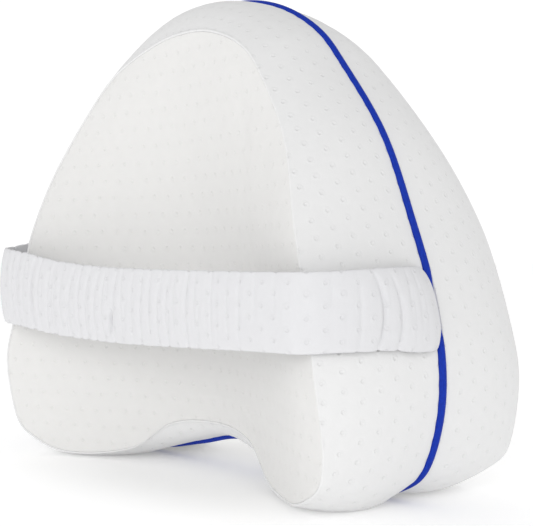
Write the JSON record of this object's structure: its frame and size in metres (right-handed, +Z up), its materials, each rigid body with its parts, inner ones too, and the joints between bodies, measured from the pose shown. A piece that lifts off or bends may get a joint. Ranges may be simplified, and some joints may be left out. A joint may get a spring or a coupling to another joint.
{
  "type": "knee pillow",
  "caption": "Arch-shaped foam knee pillow in a white dimpled knit cover, with a leg valley on each face, blue piping round its middle and a ruched elastic leg strap across the front",
  "frame": {"origin": "The middle of the part's box in X and Y, on the floor at the foot of its lobes", "axes": "+Z up, X along the pillow's width, and the strap and the front face look along -Y"},
  "size_m": [0.2638, 0.1388, 0.2306],
  "materials": {
    "cover_knit": "soft white knit with staggered embossed dimples",
    "panel_knit": "soft white knit with staggered embossed dimples",
    "piping_blue": "smooth royal blue piping with a slight sheen",
    "strap_knit": "white knit gathered over elastic, with fine upright folds"
  },
  "bodies": {
    "root": {"pillow_body": "cover_knit", "front_panel": "panel_knit", "back_panel": "panel_knit", "piping": "piping_blue", "strap": "strap_knit"}
  },
  "joints": []
}
